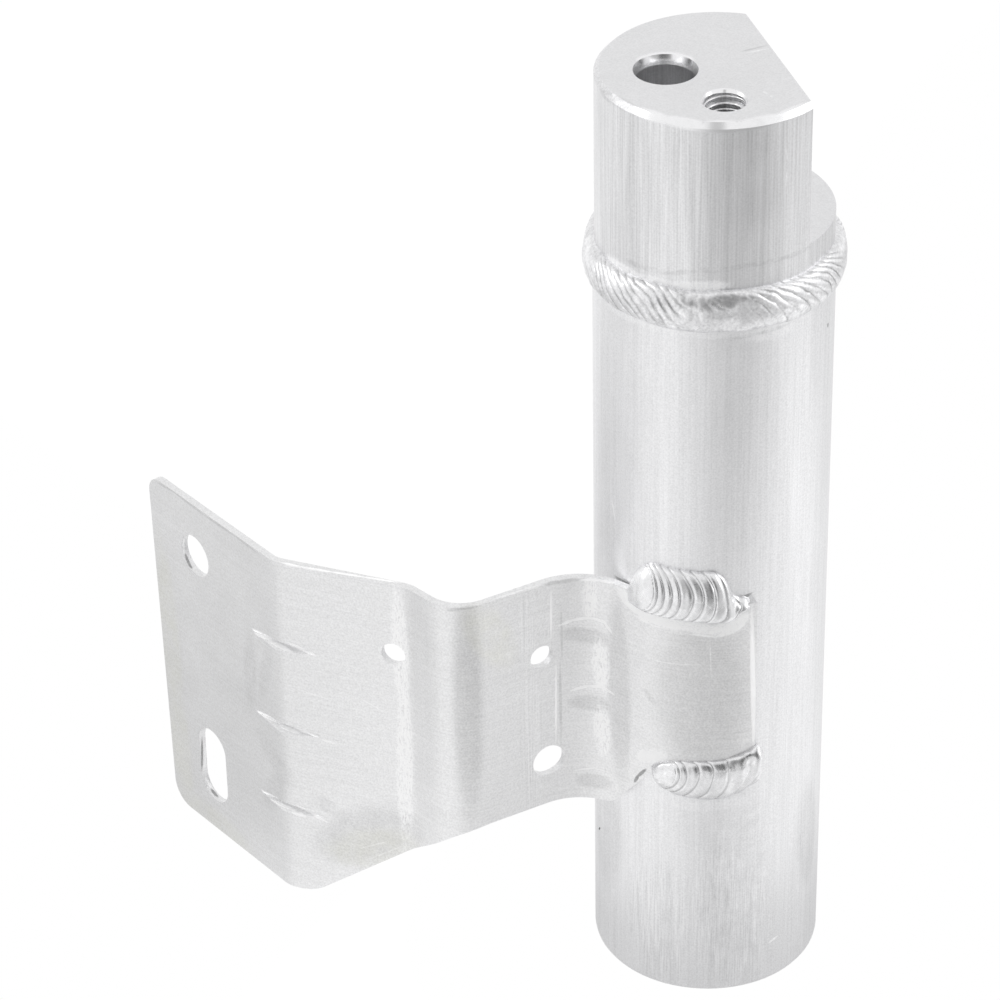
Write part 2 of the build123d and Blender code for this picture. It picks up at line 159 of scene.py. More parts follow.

# Places of the marks, painted highlights and painted shade among them: kind, reach in millimetres and the
# pixels of the photograph that they run through
BRACKET_MARKS = (
    ("nick", 0.60, (256, 634), (272, 640)),
    ("nick", 0.75, (272, 642), (290, 651)),
    ("nick", 0.60, (291, 644), (313, 654)),
    ("nick", 0.60, (260, 713), (281, 723)),
    ("nick", 0.75, (282, 726), (297, 732)),
    ("nick", 0.60, (297, 729), (333, 743)),
    ("nick", 0.60, (272, 800), (294, 810)),
    ("nick", 0.75, (294, 812), (304, 816)),
    ("nick", 0.60, (300, 807), (323, 820)),
    ("gap", 0.45, (202, 740), (202, 768)),
    ("edge", 0.40, (205, 748), (205, 766)),
    ("edge", 0.60, (206, 779), (212, 788)),
    ("gap", 0.60, (212, 790), (217, 796)),
    ("gap", 0.60, (186, 556), (191, 567)),
    ("edge", 0.50, (184, 540), (184, 552)),
    ("nick", 0.50, (561, 625), (573, 620), (590, 618), (604, 622), (611, 632)),
    ("nick", 0.50, (573, 690), (588, 686), (601, 687), (613, 694)),
    ("nick", 0.30, (578, 770), (595, 768), (607, 772)),
    ("edge", 0.35, (551, 596), (551, 634)),
    ("edge", 0.35, (556, 669), (556, 735)),
    ("edge", 0.90, (752, 622), (754, 738)),
    ("edge", 0.50, (284, 563), (300, 567), (332, 572), (364, 577), (396, 582)),
    ("edge", 0.50, (584, 580), (600, 580), (614, 583)),
    ("dent", 0.50, (158, 483), (172, 491), (204, 515), (236, 537), (256, 552)),
    ("dent", 0.60, (448, 610), (460, 609), (476, 606)),
    ("dent", 0.80, (548, 584), (560, 582), (576, 580)),
    ("faint", 0.50, (500, 597), (524, 590), (540, 586)),
    ("dent", 0.50, (560, 669), (561, 735)),
    ("dent", 0.40, (561, 612), (562, 655)),
    ("faint", 0.30, (657, 661), (677, 664), (700, 665)),
    ("faint", 0.25, (710, 640), (711, 675)),
    ("faint", 0.30, (363, 700), (382, 711)),
    ("faint", 0.30, (362, 848), (386, 842)),
    ("faint", 0.30, (372, 858), (402, 846)),
    ("faint", 0.30, (300, 690), (330, 700)),
    ("smudge", 3.0, (268, 657), (263, 690)),
    ("smudge", 4.5, (266, 745), (284, 775), (270, 800)),
    ("smudge", 3.0, (320, 800), (336, 812)),
    ("smudge", 3.5, (250, 640), (250, 700)),
    ("smudge", 1.2, (646, 692), (654, 703)),
    ("shade", 3.2, (571, 634), (604, 640)),
    ("shade", 3.2, (579, 702), (606, 705)),
    ("shade", 3.0, (584, 780), (604, 782)),
    ("shade", 5.0, (466, 614), (470, 795)),
    ("shade", 11.0, (345, 842), (392, 830)),
    ("shade", 4.5, (617, 615), (621, 765)),
    ("sparkle", 3.0, (397, 604), (404, 700), (406, 835)),
    ("sparkle", 2.5, (590, 585), (590, 612)),
    ("sparkle", 3.0, (600, 645), (602, 682)),
    ("sparkle", 3.0, (601, 712), (603, 744)),
    ("shade", 16.0, (700, 660), (704, 735)),
    ("striae", 5.0, (532, 690), (533, 800)),
    ("striae", 3.0, (526, 600), (528, 690)),
    ("tint", 6.0, (162, 560), (176, 700), (186, 790)),
    ("tint", 6.0, (190, 800), (240, 842)),
    ("tint", 7.0, (480, 622), (500, 650)),
    ("tint", 8.0, (350, 850), (395, 845)),
    ("melt", 2.4, (622, 594), (634, 607), (652, 618), (690, 627), (715, 631), (733, 626), (742, 619)),
    ("faint", 0.5, (636, 616), (652, 625), (690, 634), (716, 637), (735, 632), (743, 624)),
    ("melt", 2.4, (642, 757), (650, 755), (660, 757)),
    ("gap", 0.6, (635, 781), (638, 776), (645, 770)),
)
CAN_MARKS = (
    ("halo", 2.2, (660, 796), (690, 806), (720, 806), (745, 798)),
    ("gap", 0.6, (740, 599), (750, 594)),
    ("halo", 3.0, (750, 335), (785, 328)),
    ("halo", 1.6, (612, 308), (640, 322), (690, 334), (730, 334)),
    ("seam", 0.8, (735, 338), (760, 333), (785, 325)),
    ("gap", 0.9, (617, 578), (631, 587)),
    ("speck", 0.45, (828, 326), (828, 324)),
    ("speck", 0.40, (600, 828), (599, 829)),
    ("shade", 11.0, (605, 790), (605, 850)),
    ("shade", 7.0, (808, 800), (808, 860)),
    ("smudge", 12.0, (735, 810), (738, 940)),
    ("nick", 0.45, (770, 942), (776, 937)),
    ("rub", 12.0, (655, 890), (658, 950)),
    ("rub", 14.0, (725, 885), (735, 960)),
    ("faint", 0.30, (612, 500), (615, 520)),
)
HEAD_MARKS = (
    ("smudge", 4.0, (755, 128), (757, 160)),
    ("shade", 1.6, (603, 93), (612, 99), (632, 108)),
    ("polish", 2.0, (640, 111), (665, 119), (703, 126), (740, 126), (780, 117), (808, 106)),
    ("polish", 1.8, (641, 62), (648, 58), (656, 56), (665, 55), (674, 56), (683, 58), (690, 62)),
    ("polish", 1.2, (710, 93), (718, 91), (727, 90), (735, 92), (740, 95)),
    ("faint", 0.35, (786, 150), (787, 158)),
    ("faint", 0.30, (787, 172), (786, 184)),
    ("dent", 0.50, (744, 51), (764, 46)),
    ("faint", 0.40, (746, 53), (766, 49)),
    ("faint", 0.45, (764, 92), (766, 93)),
    ("faint", 0.35, (771, 96), (772, 97)),
    ("seam", 1.00, (628, 261), (642, 267), (668, 273), (701, 270), (722, 270)),
    ("seam", 1.00, (722, 270), (743, 266), (783, 258), (808, 248)),
    ("melt", 2.4, (612, 262), (640, 279), (672, 287), (720, 286)),
)
MARKS = {"bracket": BRACKET_MARKS, "can": CAN_MARKS, "head": HEAD_MARKS}


# Material nodes

# Detail and roughness of a grain's noise, and the range that nearly all of its values lie in
GRAIN_DETAIL = 3.0
GRAIN_ROUGHNESS = 0.55
GRAIN_LOW = 0.3
GRAIN_HIGH = 0.7
# Value that an evened grain has
EVEN_GRAIN = 0.5
# Upright part of a normal between which the faces that look up begin and end to lose their grain
UPWARD_FACES = (0.9, 0.99)
# Mottle of the bare metals: features per millimetre along each axis, detail, change of tone and roughness
MOTTLE_SCALE = (0.06, 0.06, 0.05)
MOTTLE_DETAIL = 4.0
MOTTLE_TONE = 0.02
MOTTLE_ROUGHNESS = 0.04
# Lowest and highest tone of the hidden pieces
PLAIN_TONE = (0.9, 1.05)


def feed(tree, socket, value):
    """Gives an input its value, or its link when the value is a socket."""
    if isinstance(value, bpy.types.NodeSocket):
        tree.links.new(value, socket)
    else:
        socket.default_value = value


def add_node(tree, kind, inputs=None, **settings):
    """Node with its settings and inputs."""
    made = tree.nodes.new(kind)
    for name, value in settings.items():
        setattr(made, name, value)
    for name, value in (inputs or {}).items():
        feed(tree, made.inputs[name], value)
    return made


def combine(tree, operation, first, second):
    """Sum, product or other arithmetic of two values."""
    made = add_node(tree, "ShaderNodeMath", operation=operation)
    for socket, value in zip(made.inputs, (first, second)):
        feed(tree, socket, value)
    return made.outputs["Value"]


def add_share(tree, value, part, weight):
    """A value with a weighted part added to it."""
    return combine(tree, "ADD", value, combine(tree, "MULTIPLY", part, weight))


def grain(tree, scale, detail=GRAIN_DETAIL):
    """Noise from 0 to 1 with so many features a millimetre along each axis."""
    place = add_node(tree, "ShaderNodeTexCoord").outputs["Object"]
    stretch = [factor / MM for factor in scale]
    stretched = add_node(tree, "ShaderNodeMapping", {"Vector": place, "Scale": stretch}).outputs["Vector"]
    texture = add_node(
        tree, "ShaderNodeTexNoise",
        {"Vector": stretched, "Scale": 1.0, "Detail": detail, "Roughness": GRAIN_ROUGHNESS})
    return texture.outputs["Fac"]


def spread(tree, value, low, high, from_low=GRAIN_LOW, from_high=GRAIN_HIGH, **settings):
    """A value taken from one range, which is a grain's unless given, to another."""
    ends = {"From Min": from_low, "From Max": from_high, "To Min": low, "To Max": high}
    made = add_node(tree, "ShaderNodeMapRange", {"Value": value, **ends}, **settings)
    return made.outputs["Result"]


def near_line(tree, place, start, end, reach):
    """1 midway between two points, falling to 0 past both and all round at its reach in millimetres."""
    line = end - start
    spot = add_node(tree, "ShaderNodeTexGradient", {"Vector": place}, gradient_type="SPHERICAL")
    around_line = spot.texture_mapping
    around_line.vector_type = "TEXTURE"
    around_line.translation = (start + end) / 2
    around_line.rotation = line.to_track_quat("X", "Z").to_euler()
    around_line.scale = (line.length * LINE_SHARE + reach * MM, reach * MM, reach * MM)
    return spot.outputs["Fac"]


def marked(tree, kind, marks, surface):
    """Strength of one kind of mark over a surface, broken up by its noise."""
    place = add_node(tree, "ShaderNodeTexCoord").outputs["Object"]
    strength = 0.0
    for mark_kind, reach, *pixels in marks:
        if mark_kind != kind:
            continue
        spots = [under_pixel(surface, pixel) for pixel in pixels]
        for start, end in zip(spots, spots[1:]):
            strength = combine(tree, "MAXIMUM", strength, near_line(tree, place, start, end, reach))
    strength = spread(tree, strength, 0.0, 1.0, 0.0, FULL_MARK, interpolation_type="SMOOTHSTEP")
    scale, lowest = MARK_KINDS[kind][-2:]
    return combine(tree, "MULTIPLY", strength, spread(tree, grain(tree, scale), lowest, 1.0))


def evened(tree, lines, share):
    """Grain of which a share has given way to its middle value."""
    kept = combine(tree, "MULTIPLY", lines, combine(tree, "SUBTRACT", 1.0, share))
    return add_share(tree, kept, share, EVEN_GRAIN)


def new_material(name):
    """Material and its node tree."""
    material = bpy.data.materials.new(name)
    material.use_nodes = True
    return material, material.node_tree


def finish_shader(tree, channels, rough, sheen, height, lift):
    """Gives the shader its colour channels, roughness, metallic sheen and bump, whose lift is in metres."""
    shader = tree.nodes["Principled BSDF"]
    colour = add_node(tree, "ShaderNodeCombineColor", dict(zip(("Red", "Green", "Blue"), channels)))
    feed(tree, shader.inputs["Base Color"], colour.outputs["Color"])
    feed(tree, shader.inputs["Roughness"], rough)
    feed(tree, shader.inputs["Metallic"], sheen)
    bump = add_node(tree, "ShaderNodeBump", {"Height": height, "Strength": 1.0, "Distance": lift})
    feed(tree, shader.inputs["Normal"], bump.outputs["Normal"])


def metal(kind, layers, tone, roughness, depth, crease_shade=0.0, faced=0.0):
    """Bare metal with a grain of (scale, weight) pairs, a mottled tone and its marks.

    Creases get painted shade from their attribute, and faces that look up lose a share of the grain.
    """
    material, tree = new_material(kind + "_metal")
    lines = 0.0
    for scale, weight in layers:
        lines = add_share(tree, lines, grain(tree, scale), weight)
    marks = MARKS.get(kind, ())
    surface = surface_of(kind) if marks else None
    # Polished faces, which also carry a painted highlight, lose their grain
    if "polish" in {mark[0] for mark in marks}:
        lines = evened(tree, lines, marked(tree, "polish", marks, surface))
    if faced:
        normal = add_node(tree, "ShaderNodeNewGeometry").outputs["Normal"]
        upward = add_node(tree, "ShaderNodeSeparateXYZ", {"Vector": normal}).outputs["Z"]
        lines = evened(tree, lines, spread(tree, upward, 0.0, faced, *UPWARD_FACES))
    mottle = spread(tree, grain(tree, MOTTLE_SCALE, MOTTLE_DETAIL), -1.0, 1.0)
    shade = add_share(tree, spread(tree, lines, *tone), mottle, MOTTLE_TONE)
    rough = add_share(tree, spread(tree, lines, *roughness), mottle, MOTTLE_ROUGHNESS)
    height = combine(tree, "MULTIPLY", lines, depth)
    # Painted shade in the weld's creases, by the crease attribute
    if crease_shade:
        crease = add_node(tree, "ShaderNodeAttribute", attribute_name="crease").outputs["Fac"]
        shade = combine(tree, "SUBTRACT", shade, combine(tree, "MULTIPLY", crease, crease_shade))
    values = [shade, 0.0, rough, 1.0, height]
    for mark_kind in sorted({mark[0] for mark in marks}):
        strength = marked(tree, mark_kind, marks, surface)
        for index, change in enumerate(MARK_KINDS[mark_kind][:len(values)]):
            if change:
                values[index] = add_share(tree, values[index], strength, change)
    shade, warmth, rough, sheen, height = values
    red, green, blue = (channel / max(COLOURS[kind]) for channel in COLOURS[kind])
    cool_blue = combine(tree, "SUBTRACT", combine(tree, "MULTIPLY", shade, blue), warmth)
    channels = [combine(tree, "MULTIPLY", shade, red), combine(tree, "MULTIPLY", shade, green), cool_blue]
    finish_shader(tree, channels, rough, sheen, height, MM)
    return material


def plain(kind, roughness, scale, depth):
    """Material of a hidden piece, with a slight grain of some depth in millimetres."""
    material, tree = new_material(kind + "_finish")
    speckle = grain(tree, scale)
    shade = spread(tree, speckle, *PLAIN_TONE)
    channels = [combine(tree, "MULTIPLY", shade, channel) for channel in COLOURS[kind]]
    sheen = 1.0 if kind in HIDDEN_METALS else 0.0
    finish_shader(tree, channels, roughness, sheen, speckle, depth * MM)
    return material


# Grain of each metal: features per millimetre along each axis, and weight
EXTRUDED = (((1.8, 1.8, 0.03), 0.3), ((0.5, 0.5, 0.012), 0.15), ((2.2, 2.2, 2.2), 0.55))
MILLED = (((2.0, 2.0, 0.03), 0.5), ((0.6, 0.6, 0.012), 0.2), ((2.2, 2.2, 2.2), 0.3))
ROLLED = (((2.0, 2.0, 2.0), 0.75), ((0.05, 0.05, 2.2), 0.25))
CAST = (((1.6, 1.6, 1.6), 0.5), ((0.4, 0.4, 0.4), 0.5))

# Each metal has its grain, range of tone, range of roughness and depth of the grain in millimetres, and a
# weld how much painted shade its creases get. Each hidden piece has its roughness, grain and the grain's
# depth.
materials = {
    "can": metal("can", EXTRUDED, (0.77, 1.02), (0.44, 0.36), 0.03),
    "head": metal("head", MILLED, (0.63, 1.02), (0.42, 0.32), 0.03, faced=0.6),
    "bracket": metal("bracket", ROLLED, (0.79, 0.98), (0.52, 0.44), 0.02),
    "weld": metal("weld", CAST, (0.82, 0.98), (0.40, 0.14), 0.015, 0.35),
    "dull_weld": metal("weld", CAST, (0.70, 1.05), (0.50, 0.24), 0.03, 0.55),
    "tube": plain("tube", 0.35, (1.0, 1.0, 0.05), 0.01),
    "strainer": plain("strainer", 0.5, (0.8, 0.8, 0.8), 0.01),
    "mesh": plain("mesh", 0.6, (3.0, 3.0, 3.0), 0.1),
    "plate": plain("plate", 0.4, (1.0, 1.0, 1.0), 0.01),
    "pad": plain("pad", 0.95, (1.5, 1.5, 1.5), 0.3),
    "desiccant": plain("desiccant", 0.9, (0.6, 0.6, 0.6), 0.6),
    "spring": plain("spring", 0.35, (1.0, 1.0, 1.0), 0.01),
}
for node_name, node_object in frame["nodes"].items():
    node_object.data.materials.clear()
    node_object.data.materials.append(materials[NODE_MATERIALS[node_name]])


# Rounded edges of the sheet

# Width in millimetres, steps, and the bend in degrees from which an edge is rounded
EDGE_WIDTH = 0.25
EDGE_STEPS = 2
EDGE_BEND = 35
# Bend in degrees up to which faces count as one flat
FLAT_BEND = 0.5


def soften(node):
    """Rounds the sharp edges of a node."""
    piece = frame["nodes"][node]
    flat = piece.modifiers.new("merge_flats", "DECIMATE")
    flat.decimate_type = "DISSOLVE"
    flat.angle_limit = math.radians(FLAT_BEND)
    bevel = piece.modifiers.new("round_edges", "BEVEL")
    bevel.width = EDGE_WIDTH * MM
    bevel.segments = EDGE_STEPS
    bevel.limit_method = "ANGLE"
    bevel.angle_limit = math.radians(EDGE_BEND)
    bevel.use_clamp_overlap = False
    bevel.harden_normals = True


soften("bracket")


# Pieces made here


def smooth(low, high, value):
    """0 below low, 1 above high and a smooth climb between them."""
    share = np.clip((value - low) / (high - low), 0.0, 1.0)
    return share * share * (3 - 2 * share)


def add_mesh(name, points, faces, slot, replaced=(), finish=None):
    """Mesh piece from points in millimetres, which rides on the object."""
    mesh = bpy.data.meshes.new(name)
    mesh.from_pydata([Vector(point) * MM for point in points], [], faces)
    mesh.polygons.foreach_set("use_smooth", [True] * len(mesh.polygons))
    mesh.materials.append(materials[finish or slot])
    mesh.update()
    piece = bpy.data.objects.new(name, mesh)
    bpy.context.scene.collection.objects.link(piece)
    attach(piece, "root")
    if replaced:
        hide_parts(*replaced)
    return piece


def grid_faces(rows, columns, closed):
    """Faces of a grid that is closed across its columns, and along its rows or with a cap at both ends."""
    faces = []
    for row in range(rows if closed else rows - 1):
        here, ahead = row * columns, (row + 1) % rows * columns
        for column in range(columns):
            beside = (column + 1) % columns
            faces.append((here + column, ahead + column, ahead + beside, here + beside))
    if not closed:
        faces.append(tuple(range(columns)))
        faces.append(tuple((rows - 1) * columns + column for column in reversed(range(columns))))
    return faces


# Threads of the tapped holes

# Pitch, height of the ridge and depth of its root in the wall, in millimetres
THREAD_PITCH = 1.5
THREAD_HEIGHT = 0.8
THREAD_ROOT = 0.05
# Corners of the ridge's section along the hole, its start below the mouth, and the length of the hole that
# the ridge leaves free, in pitches
THREAD_FORM = (-0.46, -0.06, 0.06, 0.46)
THREAD_START = 0.5
THREAD_FREE = 2
# Sections in a turn of the ridge, and the share of its height that it has at its end
THREAD_STEPS = 40
THREAD_END = 0.05


def make_thread(mount):
    """Helical ridge on the wall of a tapped hole, from its mouth down, low at its start and end."""
    axis = Vector(mount["axis"])
    radius, length = mount["dims"]["r_mm"], mount["dims"]["length_mm"]
    mouth = Vector(mount["pos_m"]) / MM + axis * length / 2
    side = axis.orthogonal().normalized()
    beside = axis.cross(side)
    rows = int(THREAD_STEPS * (length - THREAD_FREE * THREAD_PITCH) / THREAD_PITCH)
    root = radius + THREAD_ROOT
    points = []
    for row in range(rows):
        turn = 2 * math.pi * row / THREAD_STEPS
        outward = math.cos(turn) * side + math.sin(turn) * beside
        depth = THREAD_PITCH * (THREAD_START + row / THREAD_STEPS)
        turns_left = (rows - 1 - row) / THREAD_STEPS
        crest = radius - THREAD_HEIGHT * min(1.0, row / THREAD_STEPS, turns_left + THREAD_END)
        for reach, drop in zip((root, crest, crest, root), THREAD_FORM):
            points.append(mouth - axis * (depth + drop * THREAD_PITCH) + outward * reach)
    add_mesh(mount["name"] + "_ridge", points, grid_faces(rows, len(THREAD_FORM), False), "head")


for record_mount in frame["record"]["mounts"]:
    if record_mount["kind"] == "threaded_hole":
        make_thread(record_mount)


# Welds

# How deep a bead's edges, and the roots that close it inside the metal, lie below the surface in millimetres
EDGE_DEPTH = 0.4
HEAD_ROOT_DEPTH = 2.5
TAB_ROOT_DEPTH = 1.0
# Power of the falloff of the painted shade in a crease between two coins, and share of the way round a half
# circle that their rims run
CREASE_POWER = 6
RIM_SWEEP = 0.96
# Least length that a normal is divided by
TINY = 1e-9


def curve_through(stations, count):
    """Smooth curve through stations: rows of values at count even steps of the first value."""
    stations = np.array(stations, float)
    steps = np.linspace(stations[0, 0], stations[-1, 0], count)
    slopes = np.gradient(stations, stations[:, 0], axis=0)
    rows = np.clip(np.searchsorted(stations[:, 0], steps, side="right") - 1, 0, len(stations) - 2)
    width = stations[rows + 1, 0] - stations[rows, 0]
    share = ((steps - stations[rows, 0]) / width)[:, None]
    width = width[:, None]
    start, end = stations[rows], stations[rows + 1]
    climb, drop = slopes[rows] * width, slopes[rows + 1] * width
    return (
        start * (1 + 2 * share) * (1 - share) ** 2 + climb * share * (1 - share) ** 2
        + end * share ** 2 * (3 - 2 * share) - drop * share ** 2 * (1 - share))


def wobble(first, second, seed):
    """Smooth noise from about -1 to 1 over a grid of two coordinates."""
    flat = [noise.noise(Vector((a, b, seed))) for a, b in zip(first.ravel(), second.ravel())]
    return np.array(flat).reshape(first.shape) * 2


def uneven(arc, side, size, length, across, seed):
    """Noise over a bead: its size, the length of its features in millimetres and how many lie across."""
    return size * wobble(arc / length, side * across, seed)


def uneven_ring(turn, size, fineness, seed):
    """Noise round a closed ring, from angles in radians."""
    return size * wobble(np.cos(turn) * fineness, np.sin(turn) * fineness, seed)


def eased(share):
    """Share that leaves 0 and reaches 1 gently."""
    return 0.5 - 0.5 * np.cos(np.pi * share)


def to_rim(phase):
    """0 in the middle of each coin to 1 at its rim, with one coin for each whole step of the phase."""
    return np.abs(2 * (phase - np.floor(phase)) - 1)


def coins(phase, power):
    """Height from 0 to 1 of overlapping coins, whose rims are the narrower the higher the power."""
    return 1 - to_rim(phase) ** power


def between_coins(phase):
    """Painted shade of the crease between the coins, from 0 on them to 1 where they meet."""
    return to_rim(phase) ** CREASE_POWER


def swept(side):
    """How far a coin's rim lags behind its middle, from 0 there and ever faster toward the bead's sides."""
    return 1 - np.sqrt(1 - RIM_SWEEP * np.sin(np.pi / 2 * side) ** 2)


def surface_normals(points, closed):
    """Unit normals of a grid of points, as rows along the bead and columns across it."""
    if closed:
        along = np.roll(points, -1, axis=0) - np.roll(points, 1, axis=0)
    else:
        along = np.gradient(points, axis=0)
    across = np.gradient(points, axis=1)
    normals = np.cross(along, across)
    return normals / np.maximum(np.linalg.norm(normals, axis=2, keepdims=True), TINY)


def around(radius, angle, z):
    """Points from radius, angle in degrees and height."""
    turn = np.radians(angle)
    return np.stack([radius * np.cos(turn), radius * np.sin(turn), z], axis=-1)


def bead_piece(name, points, root, crease_shading, closed, replaced, finish):
    """Weld from its outer grid and the root points that close each section inside the metal."""
    grid = np.concatenate([points, root], axis=1)
    rows, columns = grid.shape[:2]
    faces = grid_faces(rows, columns, closed)
    piece = add_mesh(name, grid.reshape(-1, 3), faces, "weld", (replaced,), finish)
    # Painted shade of the creases, as an attribute that the weld's material reads
    shares = np.concatenate([crease_shading, np.zeros(root.shape[:2])], axis=1)
    piece.data.attributes.new("crease", "FLOAT", "POINT").data.foreach_set("value", shares.ravel())


# Head bead

# Its grid round and across, heights of its edges from the joint and crown in millimetres, and the powers of
# the sine that round its section and fade its relief toward both edges
HEAD_GRID = (1100, 64)
HEAD_LOW_EDGE = -5.3
HEAD_HIGH_EDGE = 5.9
HEAD_CROWN = 3.1
HEAD_ROUNDING = 0.85
HEAD_FADING = 0.5
# What makes its edges and crown uneven: size in millimetres, fineness and seed
LOW_EDGE_NOISE = (0.3, 3.1, 1.5)
HIGH_EDGE_NOISE = (0.45, 2.3, 7.5)
CROWN_NOISE = (0.2, 2.0, 4.5)
# Its coins: lag of their sides behind their middle, pitch and depth in millimetres, power, and the place
# from -1 to 1 across the bead where their middle lies
HEAD_COIN_LAG = 14.0
HEAD_COIN_PITCH = 2.9
HEAD_COIN_DEPTH = 0.38
HEAD_COIN_POWER = 3
HEAD_COIN_MIDDLE = -0.6
# Share of their depth that the coins keep where they have faded out
COIN_TRACE = 0.1
# Share of it that they have at the can's edge, and the places across between which they rise from that
CAN_EDGE_SHARE = 0.2
CAN_EDGE_RISE = (-0.9, 0.1)
# Azimuths in degrees between which the coins fade in, and between which they fade out
LEFT_COINS = (-122, -104, -66, -50)
RIGHT_COINS = (-30, -14, 24, 40)
# Azimuth of the middle of the coins behind, angles from it between which they fade out, and angles from the
# grid's seam between which they fade in
BACK_MIDDLE = 137
BACK_FADE = (72, 88)
SEAM_FADE = (3, 9)
# Noise over the bead: its size, length in millimetres, number across and seed
COIN_JITTER = (0.45, 7, 0.6, 2.5)
FINE_COIN_JITTER = (0.08, 1.7, 2, 3.5)
BLOTCHES = (0.14, 2.8, 2.2, 9.5)
FINE_BLOTCHES = (0.03, 0.9, 6, 11.5)
CREASE_BREAKS = (0.6, 4, 1.5, 13.5)
# Share of the blotches that the coins take away
BLOTCHES_LOST = 0.7
# Middle strength of the painted shade in the creases, and strengths of the relief between which it fades in
CREASE_STRENGTH = 0.7
HEAD_CREASE_FADE = (0.2, 0.6)


def make_head_bead():
    """Weld around the joint of can and head, rippled at both sides and behind, and blotchy in front."""
    columns, rows = HEAD_GRID
    angle = np.linspace(-180, 180, columns, endpoint=False)[:, None]
    share = np.linspace(0, 1, rows)[None, :]
    angle_grid = angle + 0 * share
    share_grid = share + 0 * angle
    turn = np.radians(angle_grid)
    low_z = JOINT_Z + HEAD_LOW_EDGE + uneven_ring(turn, *LOW_EDGE_NOISE)
    high_z = JOINT_Z + HEAD_HIGH_EDGE + uneven_ring(turn, *HIGH_EDGE_NOISE)
    toe = (CAN_RADIUS - EDGE_DEPTH) * (1 - share_grid) + (HEAD_RADIUS - EDGE_DEPTH) * share_grid
    crown = HEAD_CROWN + uneven_ring(turn, *CROWN_NOISE)
    height = low_z + (high_z - low_z) * eased(share_grid)
    points = around(toe + crown * np.sin(np.pi * share_grid) ** HEAD_ROUNDING, angle_grid, height)
    side = 2 * share_grid - 1
    arc = turn * CAN_RADIUS
    jitter = uneven(arc, side, *COIN_JITTER) + uneven(arc, side, *FINE_COIN_JITTER)
    from_middle = (side - HEAD_COIN_MIDDLE) / (1 - HEAD_COIN_MIDDLE)
    lag = HEAD_COIN_LAG * swept(np.clip(from_middle, -1, 1))
    phase = (arc + lag) / HEAD_COIN_PITCH + jitter
    left, right = (
        smooth(*limits[:2], angle_grid) * smooth(limits[3], limits[2], angle_grid)
        for limits in (LEFT_COINS, RIGHT_COINS))
    from_back = np.abs((angle_grid - BACK_MIDDLE + 180) % 360 - 180)
    behind = smooth(BACK_FADE[1], BACK_FADE[0], from_back) * smooth(*SEAM_FADE, 180 - np.abs(angle_grid))
    rippled = np.maximum(np.maximum(left, right), behind)
    inner = CAN_EDGE_SHARE + (1 - CAN_EDGE_SHARE) * smooth(*CAN_EDGE_RISE, side)
    depth = HEAD_COIN_DEPTH * (COIN_TRACE + (1 - COIN_TRACE) * rippled * inner)
    ripple = depth * coins(phase, HEAD_COIN_POWER)
    blotches = uneven(arc, side, *BLOTCHES) + uneven(arc, side, *FINE_BLOTCHES)
    lumps = blotches * (1 - BLOTCHES_LOST * rippled)
    fade = np.sin(np.pi * share_grid) ** HEAD_FADING
    points = points + surface_normals(points, True) * ((ripple + lumps) * fade)[..., None]
    # The bead stays within the radius of the solid that it replaces
    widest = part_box("head_weld")[1][1] / MM
    points[..., :2] *= np.minimum(1, widest / np.linalg.norm(points[..., :2], axis=2))[..., None]
    root = around(np.full((columns, 1), HEAD_RADIUS - HEAD_ROOT_DEPTH), angle, JOINT_Z + 0 * angle)
    # Painted shade in the creases between coins, broken up by noise
    shown = np.clip(CREASE_STRENGTH + uneven(arc, side, *CREASE_BREAKS), 0, 1)
    crease_shading = between_coins(phase) * rippled * inner * shown * smooth(*HEAD_CREASE_FADE, fade)
    bead_piece("head_bead", points, root, crease_shading, True, "head_weld", "dull_weld")


# Tab beads

# Their grid along and across, and the powers of the sine that round their section and fade their relief
# toward both edges
TAB_GRID = (420, 56)
TAB_ROUNDING = 0.8
TAB_FADING = 0.6
# Crowns in millimetres between which their relief fades in
THIN_CROWNS = (0.3, 2.2)
# Lag of a coin's sides behind its middle at the nose and further on, and the lengths along the bead between
# which it changes, in millimetres
NOSE_COIN_LAG = 6.5
TAB_COIN_LAG = 4.0
NOSE_LENGTHS = (5, 25)
# Power of the coins, which sets how narrow their rims are
TAB_COIN_POWER = 4
# Noise of the coins' places, of the surface and of the lumpy end: size, length in millimetres, number across
TAB_COIN_JITTER = (0.10, 2.5, 1.5)
TAB_LUMPS = (0.08, 1.6, 1.6)
END_LUMPS = (0.6, 3.2, 2.2)
# What the seeds of the last two add to the bead's own seed
TAB_LUMPS_SEED = 4
END_LUMPS_SEED = 6
# Lengths in millimetres in which the jitter and the end's lumps fade in, and the share of the coins' depth
# that the lumps take away
JITTER_RISE = 2
LUMPS_RISE = 4
COINS_LOST = 0.6
# Strength of the relief up to which the painted shade of the creases fades in
TAB_CREASE_FADE = 0.25

# Coins of each tab bead: length along it in millimetres where they start, power of the length past it that
# counts them, which is below 1 because they widen, depth in millimetres and share of the width where their
# middle lies; and the power that moves the bulge, below 1 toward the sheet and above 1 toward the can
UPPER_COINS = (9.0, 0.72, 0.44, 0.5, 0.7)
LOWER_COINS = (8.0, 0.62, 0.36, 0.33, 1.2)
# Lengths in millimetres from which the ends are lumpy, and seeds of the noise
UPPER_LUMPY_FROM = 60.0
UPPER_SEED = 21.5
LOWER_LUMPY_FROM = 19.0
LOWER_SEED = 31.5

